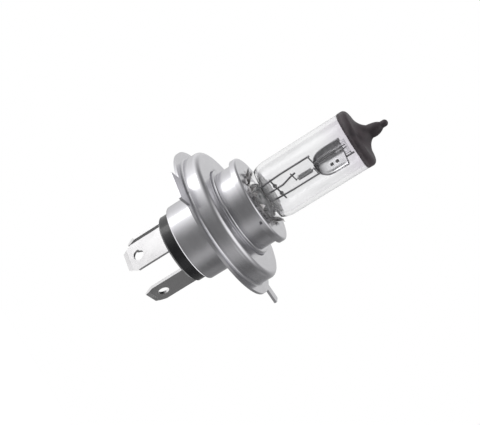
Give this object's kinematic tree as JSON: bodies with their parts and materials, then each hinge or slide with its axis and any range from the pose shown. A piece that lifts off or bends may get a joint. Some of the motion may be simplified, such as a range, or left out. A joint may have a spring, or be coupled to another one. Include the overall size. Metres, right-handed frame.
{
  "type": "headlight bulb",
  "caption": "Two-filament halogen headlight bulb: steel prefocus ring with locating lugs, clear glass tube with dark tip, and flat contact blades behind.",
  "frame": {"origin": "centre of the prefocus ring's seating face, which is the front face of its flange and lugs, on the bulb axis", "axes": "+Z along the bulb axis towards the glass tip, +Y towards the wide lug and the top contact blade, X across the two side blades"},
  "size_m": [0.043, 0.0465, 0.0765],
  "materials": {
    "satin_steel": "satin stainless sheet with soft tumble marks",
    "clip_steel": "bare spring steel",
    "black_ceramic": "glossy black moulding",
    "blade_steel": "bright plated strip",
    "quartz_glass": "clear polished quartz",
    "dark_coat": "matte dark purple-grey heat-proof paint",
    "foil": "thin molybdenum foil",
    "wire_metal": "grey drawn molybdenum",
    "weld_metal": "melted and cooled metal",
    "bead_glass": "grey fused bead",
    "shield_metal": "pressed molybdenum sheet",
    "tungsten": "grey tungsten wire"
  },
  "bodies": {
    "root": {"flange_ring": "satin_steel", "cap_shell": "satin_steel", "neck_sleeve": "satin_steel", "holder_disc": "satin_steel", "pinch_cradle": "clip_steel", "star_clamp": "clip_steel", "base_insulator": "black_ceramic", "contact_blade_top": "blade_steel", "contact_blade_left": "blade_steel", "contact_blade_right": "blade_steel", "glass_envelope": "quartz_glass", "tip_coating": "dark_coat", "seal_foil_low": "foil", "seal_foil_high": "foil", "seal_foil_common": "foil", "lead_wire_low": "wire_metal", "lead_wire_high": "wire_metal", "lead_wire_common": "wire_metal", "blade_welds": "weld_metal", "low_beam_wire": "wire_metal", "high_beam_wire": "wire_metal", "common_wire": "wire_metal", "wire_bridge": "wire_metal", "bridge_beads": "bead_glass", "glare_shield": "shield_metal", "shield_welds": "weld_metal", "low_beam_filament": "tungsten", "high_beam_filament": "tungsten", "low_beam_rear_clip": "wire_metal", "low_beam_front_strip": "wire_metal", "high_beam_rear_clip": "wire_metal", "high_beam_front_clip": "wire_metal"}
  },
  "joints": []
}
